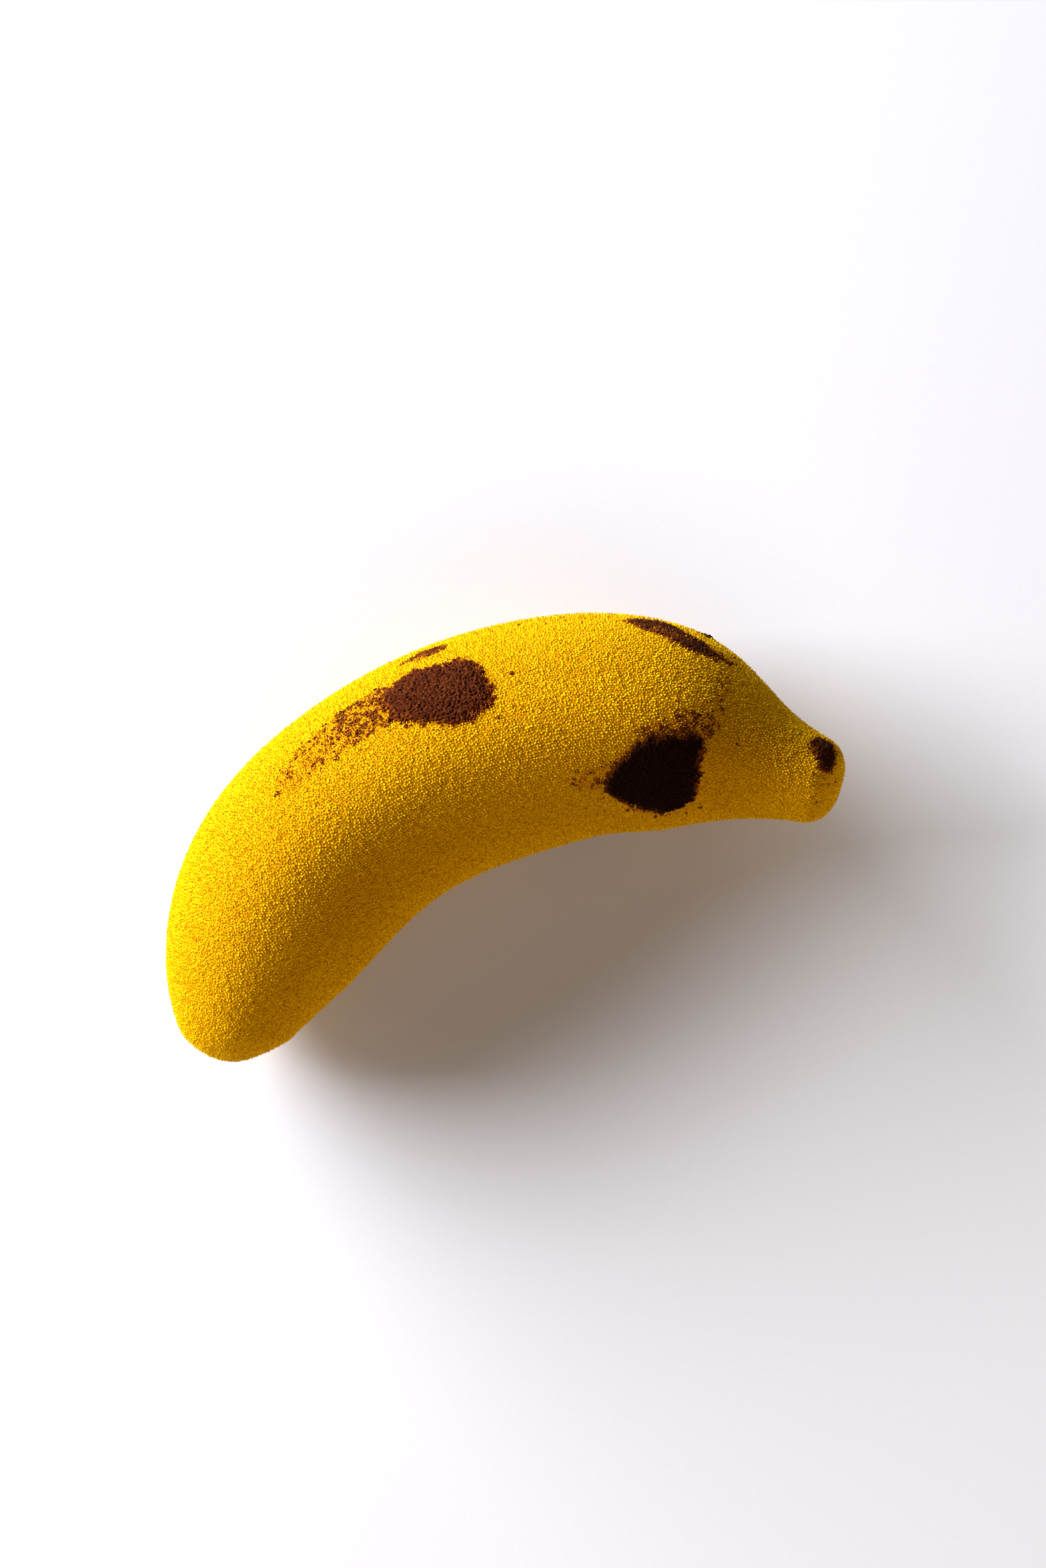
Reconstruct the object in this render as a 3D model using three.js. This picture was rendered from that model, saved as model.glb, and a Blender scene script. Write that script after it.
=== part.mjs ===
// A single-portion dessert moulded in the shape of a plump banana, sprayed with a yellow velvet
// coat and dusted with patches of cocoa powder. It lies on its side. Millimetres, +Z up: +X runs
// along the chord to the stem, +Y is the outer side of the curve, and the surface is at z = 0.
import * as THREE from 'three';

// Centreline and size of the moulded form, blossom end first: control points of one smooth cubic,
// each [along the chord, across it towards the outer side, lift above the curve's plane, radius].
// The first and last lie past the ends and only steer the curve.
const FORM = [
  [-61.0, -29.5, 0.0, -4.0],
  [-58.0, -15.5, 0.0, 7.0],
  [-51.5, -5.0, 0.0, 14.0],
  [-41.5, 4.0, 0.0, 18.0],
  [-30.0, 11.0, 0.0, 19.0],
  [-16.5, 15.0, 0.0, 19.0],
  [-3.0, 16.0, 0.0, 19.5],
  [11.0, 14.5, 0.0, 19.5],
  [25.0, 11.0, 0.0, 18.5],
  [36.5, 3.0, 0.0, 17.5],
  [45.0, -6.0, 0.8, 9.5],
  [54.5, -15.0, 3.2, 6.0],
  [65.5, -24.5, 7.6, 8.0],
];

// Ends: the domed blossom tip, and the rounded rim and slightly domed face of the cut stem.
const BLOSSOM_CAP = 5;
const STEM_RIM = 4;
const STEM_FACE_RISE = 0.4;

// Section: five soft ridges, one of them along the middle of the upper side, the flank under it
// resting on the surface. The stem stub is deeper than it is wide.
const RIDGES = 5;
const RIDGE_HEIGHT = 0.012;
const RIDGE_ANGLE = Math.PI / 2;
const BODY_DEPTH = 0.97;
const STUB_DEPTH = 1.13;
const STUB_FROM = 112;
const STUB_TO = 128;

// Shallow dishes and swells of the hand-made mould: where along (mm), where round (degrees from the
// outer side, towards the top), reach along (mm), reach round (degrees) and height (mm).
const SWELLS = [
  [84, 35, 14, 22, -0.45],
  [94, 102, 14, 22, 0.8],
  [85, 64, 15, 14, -0.25],
  [37, 120, 14, 26, -0.3],
  [50, 215, 18, 30, -0.4],
  [88, 300, 16, 26, -0.4],
  [24, 300, 12, 30, 0.3],
  [36, 30, 18, 34, 0.5],
  [28, 90, 12, 22, -0.35],
  [92, 50, 12, 22, 0.35],
];

// Rest pose: the ends sag towards the surface until the belly's flank carries the weight, and the
// soft filling flattens there.
const REST_ROLL = THREE.MathUtils.degToRad(8.8);
const REST_PITCH = THREE.MathUtils.degToRad(0.1);
const REST_HEIGHT = 16.2;

// Fineness of the facets, and the step over which the skin's slope is measured (mm).
const ROUND_STEPS = 48;
const TIP_STEPS = 6;
const SIDE_STEPS = 62;
const RIM_STEPS = 5;
const FACE_STEPS = 3;
const PATCH_ROUND_STEPS = 44;
const PATCH_RINGS = 3;
const SLOPE_STEP = 0.05;

// Cocoa powder: it starts just clear of the coat and is thickest in the middle (mm).
const COCOA_GAP = 0.25;
const COCOA_EDGE = 0.3;
const COCOA_THICK = 0.75;
const CROWN_POWER = 4;

// Its lumps (height in mm, waves per mm along and round) and its ragged edge (share of the outline's
// reach, two waves per step round the outline, fading quickly towards the middle).
const COCOA_LUMP = 0.12;
const LUMP_WAVES = [1.9, 2.3];
const COCOA_RAGGED = 0.03;
const RAGGED_WAVES = [2.3, 5.1];
const RAGGED_POWER = 6;

// Patches: centre along (mm) and round (degrees), body radius there (mm), and a hand-drawn outline
// round that centre, [along, round] in mm, "round" growing towards the inner side.
const PATCHES = {
  cocoa_front: {
    along: 69, round: 54, radius: 19.4,
    outline: [[-8.2, -0.6], [-7.6, -3.4], [-5.4, -5.8], [-2.2, -6.7], [1.4, -6.1], [4.8, -4.9],
      [7.1, -1.9], [8.1, 2.2], [7.2, 5.2], [4.4, 6.9], [1.2, 6.9], [-1.6, 6], [-4.9, 3.5], [-7.2, 1.4]],
  },
  cocoa_sliver: {
    along: 69, round: 22, radius: 19.4,
    outline: [[-3.2, 0.1], [-1.2, -0.9], [1.1, -1.4], [3, -0.5], [2.1, 0.9], [0, 1], [-2.2, 1]],
  },
  cocoa_ridge: {
    along: 104.5, round: 26, radius: 17.4,
    outline: [[-7.4, -1.4], [-6.4, -3.1], [-4.6, -3.3], [-2.8, -3], [-1.2, -2], [0.2, -0.9],
      [1.8, -0.4], [3.4, 0.5], [5, 0.8], [7, 0.5], [6.8, 1.5], [4.6, 2.4], [2.6, 3.2], [0.6, 3.6],
      [-1.4, 3.1], [-3.2, 2.2], [-5, 1.5], [-6.6, 0.6]],
  },
  cocoa_shoulder: {
    along: 104.5, round: 118, radius: 17,
    outline: [[-11.6, 0.6], [-10, -1.4], [-7.3, -4], [-4.2, -6], [-0.6, -7.4], [3, -8.2], [6.3, -8.5],
      [6.8, -5.6], [7.3, -2.4], [8.2, 1.6], [8.2, 5.2], [5.6, 7.6], [1.4, 8], [-3.6, 7.2],
      [-7.8, 5.5], [-10.9, 3.2]],
  },
  cocoa_stem: {
    along: 132, round: 44, radius: 6.8,
    outline: [[-2.8, -0.4], [-1.8, -2.1], [0.2, -2.7], [1.9, -2], [2.6, 0.5], [2, 3.3], [-0.4, 2.8],
      [-2.2, 1]],
  },
  cocoa_back: {
    along: 50, round: -36, radius: 19,
    outline: [[-6, 0.4], [-4.6, -3.2], [-1, -4.4], [3, -4], [6, -1.6], [6.4, 1.2], [3.4, 3.8],
      [-1, 4.6], [-4.4, 3]],
  },
  cocoa_inner: {
    along: 86, round: 208, radius: 19,
    outline: [[-4.8, -0.6], [-2.4, -3], [1.4, -3.4], [4.6, -1.6], [4.8, 1], [1.8, 3], [-2.6, 2.8]],
  },
};

// One point of a uniform cubic through the control points, with its direction.
function formAt(parameter) {
  const first = THREE.MathUtils.clamp(Math.floor(parameter), 0, FORM.length - 4);
  const f = parameter - first;
  const weight = [(1 - f) ** 3 / 6, (3 * f ** 3 - 6 * f ** 2 + 4) / 6,
    (-3 * f ** 3 + 3 * f ** 2 + 3 * f + 1) / 6, f ** 3 / 6];
  const slope = [-((1 - f) ** 2) / 2, (9 * f ** 2 - 12 * f) / 6, (-9 * f ** 2 + 6 * f + 3) / 6, f ** 2 / 2];
  const place = new THREE.Vector3();
  const heading = new THREE.Vector3();
  let radius = 0;
  for (let k = 0; k < 4; k += 1) {
    const [x, y, z, r] = FORM[first + k];
    place.addScaledVector(new THREE.Vector3(x, y, z), weight[k]);
    heading.addScaledVector(new THREE.Vector3(x, y, z), slope[k]);
    radius += r * weight[k];
  }
  return { place, heading: heading.normalize(), radius };
}

// Length along the centreline at even steps of the parameter, to look a station up by its length.
const SPAN = FORM.length - 3;
const LOOKUP_STEPS = 1200;
const lengths = [0];
for (let k = 1; k <= LOOKUP_STEPS; k += 1) {
  const here = formAt((k * SPAN) / LOOKUP_STEPS).place;
  const before = formAt(((k - 1) * SPAN) / LOOKUP_STEPS).place;
  lengths.push(lengths[k - 1] + here.distanceTo(before));
}
const LENGTH = lengths[LOOKUP_STEPS];

function stationAt(along) {
  const wanted = THREE.MathUtils.clamp(along, 0, LENGTH);
  let low = 0;
  let high = LOOKUP_STEPS;
  while (high - low > 1) {
    const middle = (low + high) >> 1;
    if (lengths[middle] <= wanted) {
      low = middle;
    } else {
      high = middle;
    }
  }
  const part = (wanted - lengths[low]) / (lengths[high] - lengths[low]);
  return formAt(((low + part) * SPAN) / LOOKUP_STEPS);
}

// A point at a length along the centreline, a radius and an angle from the outer side to the top.
const UP = new THREE.Vector3(0, 0, 1);
function formPoint(along, radius, angle) {
  const { place, heading } = stationAt(along);
  const outer = new THREE.Vector3().crossVectors(UP, heading).normalize();
  const top = new THREE.Vector3().crossVectors(heading, outer);
  let reach = radius * (1 + RIDGE_HEIGHT * Math.cos(RIDGES * (angle - RIDGE_ANGLE)));
  for (const [alongMiddle, roundMiddle, alongReach, roundReach, height] of SWELLS) {
    const turned = THREE.MathUtils.radToDeg(angle) - roundMiddle;
    const offset = THREE.MathUtils.euclideanModulo(turned + 180, 360) - 180;
    reach += height * Math.exp(-(((along - alongMiddle) / alongReach) ** 2) - (offset / roundReach) ** 2);
  }
  const depth = THREE.MathUtils.lerp(BODY_DEPTH, STUB_DEPTH,
    THREE.MathUtils.smoothstep(along, STUB_FROM, STUB_TO));
  return place.clone()
    .addScaledVector(heading, Math.max(along - LENGTH, 0))
    .addScaledVector(outer, reach * Math.cos(angle))
    .addScaledVector(top, reach * Math.sin(angle) * depth);
}

// The same point given by the distance walked over the skin, from the side across the stem's rim
// and on to its face: returns [length along the centreline, radius].
const RIM_START = LENGTH - STEM_RIM;
const RIM_WALK = (STEM_RIM * Math.PI) / 2;
const FACE_RADIUS = stationAt(LENGTH).radius - STEM_RIM;
function skinStation(walked) {
  if (walked <= RIM_START) {
    return [walked, stationAt(walked).radius];
  }
  if (walked <= RIM_START + RIM_WALK) {
    const turn = (walked - RIM_START) / STEM_RIM;
    const along = RIM_START + STEM_RIM * Math.sin(turn);
    return [along, stationAt(along).radius - STEM_RIM * (1 - Math.cos(turn))];
  }
  const left = Math.max(FACE_RADIUS - (walked - RIM_START - RIM_WALK), 0);
  return [LENGTH + STEM_FACE_RISE * (1 - (left / FACE_RADIUS) ** 2), left];
}

// A point moved off the skin along the skin's own normal.
function offSkin(walked, angle, height) {
  const [station, radius] = skinStation(walked);
  const here = formPoint(station, radius, angle);
  const [nextStation, nextRadius] = skinStation(walked + SLOPE_STEP);
  const ahead = formPoint(nextStation, nextRadius, angle).sub(here);
  const aside = formPoint(station, radius, angle + SLOPE_STEP / radius).sub(here);
  const normal = new THREE.Vector3().crossVectors(aside, ahead).normalize();
  return here.addScaledVector(normal, height);
}

// From the mould's own frame to the dessert at rest, its belly flattened on the surface.
const restTurn = new THREE.Matrix4().makeRotationFromEuler(
  new THREE.Euler(REST_ROLL, REST_PITCH, 0, 'ZYX'));
function atRest(point) {
  const laid = point.clone().applyMatrix4(restTurn);
  laid.z = Math.max(laid.z + REST_HEIGHT, 0);
  return laid;
}

// The moulded body: a turned profile of lengths and radii, bent on to the centreline.
function bodyGeometry() {
  const profile = [new THREE.Vector2(0, 0)];
  for (let k = 1; k <= TIP_STEPS; k += 1) {
    const turn = (k / TIP_STEPS) * (Math.PI / 2);
    const along = BLOSSOM_CAP * (1 - Math.cos(turn));
    profile.push(new THREE.Vector2(stationAt(along).radius * Math.sin(turn), along));
  }
  for (let k = 1; k <= SIDE_STEPS; k += 1) {
    const along = THREE.MathUtils.lerp(BLOSSOM_CAP, RIM_START, k / SIDE_STEPS);
    profile.push(new THREE.Vector2(stationAt(along).radius, along));
  }
  for (let k = 1; k <= RIM_STEPS; k += 1) {
    const [along, radius] = skinStation(RIM_START + (k / RIM_STEPS) * RIM_WALK);
    profile.push(new THREE.Vector2(radius, along));
  }
  for (let k = 1; k <= FACE_STEPS; k += 1) {
    const [along, radius] = skinStation(RIM_START + RIM_WALK + (k / FACE_STEPS) * FACE_RADIUS);
    profile.push(new THREE.Vector2(k < FACE_STEPS ? radius : 0, along));
  }
  const geometry = new THREE.LatheGeometry(profile, ROUND_STEPS);
  const points = geometry.attributes.position;
  for (let k = 0; k < points.count; k += 1) {
    const radius = Math.hypot(points.getX(k), points.getZ(k));
    const angle = Math.atan2(points.getX(k), points.getZ(k));
    const laid = atRest(formPoint(points.getY(k), radius, angle));
    points.setXYZ(k, laid.x, laid.y, laid.z);
  }
  geometry.computeVertexNormals();
  return geometry;
}

// A patch of powder: a turned disc whose radius is stretched to the patch's outline and whose
// height is measured off the skin.
function patchGeometry({ along, round, radius, outline }) {
  const corners = outline.map(([u, v]) => new THREE.Vector3(u, v, 0));
  const edge = new THREE.CatmullRomCurve3(corners, true, 'centripetal').getSpacedPoints(PATCH_ROUND_STEPS);
  const profile = [];
  for (let k = 0; k <= PATCH_RINGS; k += 1) {
    profile.push(new THREE.Vector2(k / PATCH_RINGS, 0));
  }
  for (let k = PATCH_RINGS; k >= 0; k -= 1) {
    profile.push(new THREE.Vector2(k / PATCH_RINGS, 1));
  }
  const geometry = new THREE.LatheGeometry(profile, PATCH_ROUND_STEPS);
  const points = geometry.attributes.position;
  for (let k = 0; k < points.count; k += 1) {
    const step = Math.floor(k / profile.length) % PATCH_ROUND_STEPS;
    const { x: ring, y: isTop } = profile[k % profile.length];
    const { x: edgeU, y: edgeV } = edge[PATCH_ROUND_STEPS - step];
    const waves = Math.sin(step * RAGGED_WAVES[0]) + Math.sin(step * RAGGED_WAVES[1] + along);
    const ragged = 1 + COCOA_RAGGED * ring ** RAGGED_POWER * waves;
    const u = edgeU * ring * ragged;
    const v = edgeV * ring * ragged;
    const lump = COCOA_LUMP * Math.sin(u * LUMP_WAVES[0] + along) * Math.sin(v * LUMP_WAVES[1] + round);
    const outwards = ring ** CROWN_POWER;
    const crown = THREE.MathUtils.lerp(COCOA_THICK, COCOA_EDGE, outwards);
    const height = COCOA_GAP + isTop * (crown + lump * (1 - outwards));
    const laid = atRest(offSkin(along + u, THREE.MathUtils.degToRad(round) + v / radius, height));
    points.setXYZ(k, laid.x, laid.y, laid.z);
  }
  geometry.computeVertexNormals();
  return geometry;
}

function material(color, roughness) {
  return new THREE.MeshStandardMaterial({ color, roughness, metalness: 0 });
}

const velvetCoat = material(0xf2b705, 0.9);
const cocoaPowder = material(0x3a1a0a, 1.0);

const dessert = new THREE.Group();

const body = new THREE.Mesh(bodyGeometry(), velvetCoat);
body.name = 'banana_body';
dessert.add(body);

for (const [name, patch] of Object.entries(PATCHES)) {
  const mesh = new THREE.Mesh(patchGeometry(patch), cocoaPowder);
  mesh.name = name;
  dessert.add(mesh);
}

// The origin is on the surface, under the middle of the whole dessert's outline box.
const middle = new THREE.Box3().setFromObject(dessert).getCenter(new THREE.Vector3());
dessert.position.set(-middle.x, -middle.y, 0);

export default dessert;
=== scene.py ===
"""Looks of a single-portion dessert moulded as a plump banana.

The filling is cast in a mould, frozen, and sprayed with warm cocoa butter, which freezes into an
even, pebbly yellow "velvet". Cocoa powder is pressed and dusted over it in patches. Everything here
is in metres in the model's own frame; the form's own sizes are kept in millimetres, as it was made.
"""

import math

import bpy
import numpy as np
from mathutils import Matrix, Vector, noise


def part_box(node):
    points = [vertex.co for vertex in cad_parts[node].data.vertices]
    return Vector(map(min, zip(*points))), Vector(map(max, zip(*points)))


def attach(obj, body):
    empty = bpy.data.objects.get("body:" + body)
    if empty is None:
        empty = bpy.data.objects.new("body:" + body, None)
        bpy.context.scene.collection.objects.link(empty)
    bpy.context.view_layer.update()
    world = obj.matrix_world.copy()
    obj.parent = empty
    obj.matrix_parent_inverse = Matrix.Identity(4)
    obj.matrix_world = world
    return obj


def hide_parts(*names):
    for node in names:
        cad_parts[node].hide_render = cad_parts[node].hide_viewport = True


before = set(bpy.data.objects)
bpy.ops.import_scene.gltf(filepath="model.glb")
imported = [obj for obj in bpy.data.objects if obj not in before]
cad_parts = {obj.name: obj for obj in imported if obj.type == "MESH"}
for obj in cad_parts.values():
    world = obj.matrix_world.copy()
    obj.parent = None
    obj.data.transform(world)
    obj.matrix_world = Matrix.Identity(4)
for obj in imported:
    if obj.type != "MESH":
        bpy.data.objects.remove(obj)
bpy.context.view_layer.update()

bl_info = {
    "name": "Banana-shaped velvet dessert",
    "version": (1, 0, 0),
    "blender": (4, 5, 0),
    "location": "View3D > Sidebar > Dessert",
    "description": "Builds the velvet coat, cocoa patches, crumbs and studio of a moulded dessert",
    "category": "Add Mesh",
}

MM = 0.001

# The moulded form, in millimetres: control points of one smooth cubic, blossom end first, each
# [along the chord, across it towards the outer side, lift above the curve's plane, radius].
FORM = np.array([
    (-61.0, -29.5, 0.0, -4.0),
    (-58.0, -15.5, 0.0, 7.0),
    (-51.5, -5.0, 0.0, 14.0),
    (-41.5, 4.0, 0.0, 18.0),
    (-30.0, 11.0, 0.0, 19.0),
    (-16.5, 15.0, 0.0, 19.0),
    (-3.0, 16.0, 0.0, 19.5),
    (11.0, 14.5, 0.0, 19.5),
    (25.0, 11.0, 0.0, 18.5),
    (36.5, 3.0, 0.0, 17.5),
    (45.0, -6.0, 0.8, 9.5),
    (54.5, -15.0, 3.2, 6.0),
    (65.5, -24.5, 7.6, 8.0),
])

# How its ends are rounded, in mm: the blossom tip, the stem's rim, and the rise of the stem's face.
BLOSSOM_CAP = 5.0
STEM_RIM = 4.0
STEM_FACE_RISE = 0.4

# The soft ridges that run along it, as a share of its radius, with one on top.
RIDGES = 5
RIDGE_HEIGHT = 0.012
RIDGE_ANGLE = math.pi / 2

# Its depth as a share of its width, on the body and on the stub, and where along it one turns into
# the other, in mm.
BODY_DEPTH = 0.97
STUB_DEPTH = 1.13
STUB_FROM = 112.0
STUB_TO = 128.0

# Shallow dishes and swells of the mould: where along (mm), where round (degrees), reach along (mm),
# reach round (degrees), height (mm).
SWELLS = [
    (84, 35, 14, 22, -0.45),
    (94, 102, 14, 22, 0.8),
    (85, 64, 15, 14, -0.25),
    (37, 120, 14, 26, -0.3),
    (50, 215, 18, 30, -0.4),
    (88, 300, 16, 26, -0.4),
    (24, 300, 12, 30, 0.3),
    (36, 30, 18, 34, 0.5),
    (28, 90, 12, 22, -0.35),
    (92, 50, 12, 22, 0.35),
]

# The rest pose, in the model's frame: two turns, and the height of the mould frame's origin in mm.
REST_ROLL = math.radians(8.8)
REST_PITCH = math.radians(0.1)
REST_HEIGHT = 16.2

# Cocoa patches: how closely the powder is packed (well over 0 the grains close up, at 0 half of the
# coat shows, under 0 only islands of them are left), how thick it lies as a share of the usual,
# centre along (mm) and round (degrees), body radius there (mm), how moist the powder has gone
# (0 dry to 1 soaked), and the outline [along, round] in mm about the centre.
PATCHES = {
    "cocoa_front": dict(
        packed=9, thick=1, along=69, round=54, radius=19.4, moist=0.0,
        outline=[(-8.2, -0.6), (-7.6, -3.4), (-5.4, -5.8), (-2.2, -6.7), (1.4, -6.1), (4.8, -4.9),
                 (7.1, -1.9), (8.1, 2.2), (7.2, 5.2), (4.4, 6.9), (1.2, 6.9), (-1.6, 6),
                 (-4.9, 3.5), (-7.2, 1.4)]),
    "cocoa_sliver": dict(
        packed=0.15, thick=0.3, along=69, round=22, radius=19.4, moist=0.0,
        outline=[(-3.2, 0.1), (-1.2, -0.9), (1.1, -1.4), (3, -0.5), (2.1, 0.9), (0, 1), (-2.2, 1)]),
    "cocoa_ridge": dict(
        packed=0.9, thick=0.35, along=104.5, round=26, radius=17.4, moist=0.3,
        outline=[(-7.4, -1.4), (-6.4, -3.1), (-4.6, -3.3), (-2.8, -3), (-1.2, -2), (0.2, -0.9),
                 (1.8, -0.4), (3.4, 0.5), (5, 0.8), (7, 0.5), (6.8, 1.5), (4.6, 2.4), (2.6, 3.2),
                 (0.6, 3.6), (-1.4, 3.1), (-3.2, 2.2), (-5, 1.5), (-6.6, 0.6)]),
    "cocoa_shoulder": dict(
        packed=9, thick=1, along=104.5, round=118, radius=17, moist=1.0,
        outline=[(-11.6, 0.6), (-10, -1.4), (-7.3, -4), (-4.2, -6), (-0.6, -7.4), (3, -8.2),
                 (6.3, -8.5), (6.8, -5.6), (7.3, -2.4), (8.2, 1.6), (8.2, 5.2), (5.6, 7.6),
                 (1.4, 8), (-3.6, 7.2), (-7.8, 5.5), (-10.9, 3.2)]),
    "cocoa_stem": dict(
        packed=9, thick=0.6, along=132, round=44, radius=6.8, moist=0.6,
        outline=[(-2.8, -0.4), (-1.8, -2.1), (0.2, -2.7), (1.9, -2), (2.6, 0.5), (2, 3.3),
                 (-0.4, 2.8), (-2.2, 1)]),
    "cocoa_back": dict(
        packed=9, thick=1, along=50, round=-36, radius=19, moist=0.2,
        outline=[(-6, 0.4), (-4.6, -3.2), (-1, -4.4), (3, -4), (6, -1.6), (6.4, 1.2), (3.4, 3.8),
                 (-1, 4.6), (-4.4, 3)]),
    "cocoa_inner": dict(
        packed=9, thick=1, along=86, round=208, radius=19, moist=0.5,
        outline=[(-4.8, -0.6), (-2.4, -3), (1.4, -3.4), (4.6, -1.6), (4.8, 1), (1.8, 3),
                 (-2.6, 2.8)]),
}

# Loose scatters of powder with no solid patch under them, given in the same way.
SCATTERS = {
    "cocoa_front_tail": dict(
        packed=-0.22, thick=0.25, along=58, round=47, radius=19.2, moist=0.1,
        outline=[(4.5, -3.5), (1.5, -4.1), (-1.7, -3.9), (-4, -2.8), (-4.4, 0.5), (-3.6, 3.4),
                 (-0.1, 3.9), (3.4, 3.5), (5, 1)]),
    "cocoa_front_drift": dict(
        packed=-0.66, thick=0.25, along=49, round=49.5, radius=19, moist=0.1,
        outline=[(6, -3.6), (2.5, -3.6), (-2.6, -2.6), (-6.3, -1), (-6.3, 1.9), (-1.5, 2.5),
                 (4.4, 2.9), (6.5, 2.6)]),
    "cocoa_ridge_crumbs": dict(
        packed=1, thick=0.8, along=106.6, round=7, radius=16, moist=0.4,
        outline=[(-0.9, -0.4), (0, -0.8), (0.9, -0.3), (0.8, 0.5), (0, 0.7), (-0.8, 0.4)]),
    "cocoa_shoulder_drift": dict(
        packed=-0.75, thick=0.25, along=90, round=120, radius=18.5, moist=0.5,
        outline=[(-3.6, 0), (-1, -1.9), (3, -2.6), (4.6, 1), (1, 2.2), (-2, 1.6)]),
    "cocoa_shoulder_edge": dict(
        packed=-0.35, thick=0.25, along=106, round=84, radius=16, moist=0.6,
        outline=[(-7, 4.4), (-5.6, 2.2), (-1.6, 0.4), (2, -1.4), (5, -2.4), (6, 0.6), (4, 2.4),
                 (-1, 3.4)]),
    "cocoa_shoulder_fall": dict(
        packed=-0.95, thick=0.25, along=109, round=70, radius=15.5, moist=0.4,
        outline=[(-5.5, 3.9), (-1.6, 1.3), (1.2, -2.1), (0.9, -6.6), (2.1, -9.6), (3.2, -7.4),
                 (3.3, -2.4), (3.5, 2.9), (2.2, 5.4), (-1.6, 5.6), (-5.2, 5)]),
    "cocoa_crest_dust": dict(
        packed=-1.15, thick=0.25, along=84, round=10, radius=19.4, moist=0.1,
        outline=[(-10, 0), (-6, -3), (0, -4), (8, -3), (12, 0), (8, 3.4), (0, 3), (-6, 2.6)]),
}

# The camera, set from the photograph's 1568 x 2351 frame: pixels per millimetre at the centreline,
# the pixel that the mould frame's origin falls on, and how far the chord is turned up to the right.
PHOTO_WIDTH = 1568
PHOTO_HEIGHT = 2351
PIXELS_PER_MM = 8.8
ORIGIN_PIXEL = (757.0, 1255.0)
CHORD_TURN = math.radians(24.0)
CAMERA_DISTANCE = 700.0
SENSOR = 36.0
CLIP_NEAR = 0.01
CLIP_FAR = 20

# The studio, in metres. A light has the direction it stands in and the one its long side runs in,
# both in the camera's right, up and back, then its distance, its two sides and its colour.
FLOOR_HALF = 5.0
FLOOR_DROP = 1e-4
ROOM_COLOUR = (1.0, 0.93, 0.88)
KEY_LIGHT = dict(stands=(-0.84, 0.5, 0.22), along=(0.35, 0.86, -0.37), distance=1.1,
                 sides=(1.15, 0.4), colour=(1.0, 0.99, 0.97))
FILL_LIGHT = dict(stands=(0.39, -0.68, 0.62), along=(1.0, 0.0, 0.0), distance=0.8,
                  sides=(0.6, 0.6), colour=(1.0, 0.68, 0.4))

# Pitches of the patterns in the finishes, and the height of the powder's relief, in mm. Cocoa powder
# and paper fibres are too fine to show, so they are drawn as coarse as they need to be to show.
SPRAY_DRIFT = 14
DUST_CLUMP = 1.1
DUST_SPECK = 0.42
POWDER_GRAIN = 0.24
POWDER_RELIEF = 0.1
PAPER_FIBRE = 0.9

# How much the fine dust breaks up into specks, and where the paper's glow turns from its near to
# its far strength, in metres from the dessert's middle. The glow is painted light, and its weaker
# near strength a painted shadow.
DUST_BREAK = 1.3
GLOW_FROM = 0.035
GLOW_TO = 0.085

# The coat's soft relief: its noise scale times the bead pitch, and its height in mm.
RELIEF_SCALE = 0.45
RELIEF_HEIGHT = 0.16

# The beads that stand proud: sides, height and depth sunk for a radius of 1, tilt in radians, how
# much of the painted highlight the dullest gets, how many a square metre gets before the spacing
# thins them, and seeds.
BEAD_SIDES = 4
BEAD_TALL = 1.3
BEAD_SUNK = 0.3
BEAD_TILT = 0.4
BEAD_DULLEST = 0.4
BEAD_DENSITY = 4e7
BEAD_SEED = 17
BEAD_TURN_SEED = 11
BEAD_SIZE_SEED = 13
BEAD_TONE_SEED = 19
FULL_TURN = 6.28

# The loose crumbs: pitch of the clusters that they lie in, pitch and push of the lumps on each, in
# mm, how rare the large ones are, and then each sort's smallest and largest radius in mm.
CRUMB_CLUSTER = 1.7
CRUMB_LUMP = 0.28
CRUMB_PUSH = 0.35
CRUMB_RARITY = 2.5
CRUMB_TURN_SEED = 7
CRUMBS = {
    "cocoa_crumbs": dict(setting="crumbs_per_mm2", smallest=0.12, largest=0.42, fineness=2, seed=3),
    "cocoa_specks": dict(setting="specks_per_mm2", smallest=0.05, largest=0.16, fineness=1, seed=5),
}

# The coat's mesh: columns round it, mm between rows on the side, rows on the tip, the rim and the
# face, and the heights over the surface between which it comes free of it, in mm.
COAT_COLUMNS = 260
COAT_STEP = 0.365
TIP_ROWS = 15
RIM_ROWS = 16
FACE_ROWS = 9
FREE_FROM = 0.4
FREE_TO = 1.0

# How far dust and crumbs reach past an outline, how far from its middle it is looked for, and the
# depth that stands for anywhere further off, in mm.
DUST_REACH = 0.7
CRUMB_REACH = 1.1
PATCH_REACH = 24
FAR_OUTSIDE = -99.0

# The crusts, in mm: mesh cell, how far islands lie outside the outline, and how deep the mesh dips
# where the coat is bare. The grains: pitch, rise over the bed, reach, and scatter within a cell.
CRUST_CELL = 0.11
CRUST_MARGIN = 1.8
CRUST_SUNK = 0.4
GRAIN_PITCH = 0.36
GRAIN_RISE = 0.22
GRAIN_REACH = 0.64 * GRAIN_PITCH
GRAIN_SCATTER = (0.08, 0.92)

# How the grains gather: clump size in mm where packed and where loose, the finer clumps' share and
# how much finer they are, how far apart two patches' clumps are drawn, how much clumps and chance
# count beside the depth in the outline, and from where the grains close up.
CLUMP_PACKED = 2.0
CLUMP_LOOSE = 1.0
CLUMP_FINE_SHARE = 0.7
CLUMP_FINER = 2.2
CLUMP_APART = 3.7
CLUMP_WEIGHT = 1.15
CHANCE_WEIGHT = 0.9
CLOSED_FROM = 0.5

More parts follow.
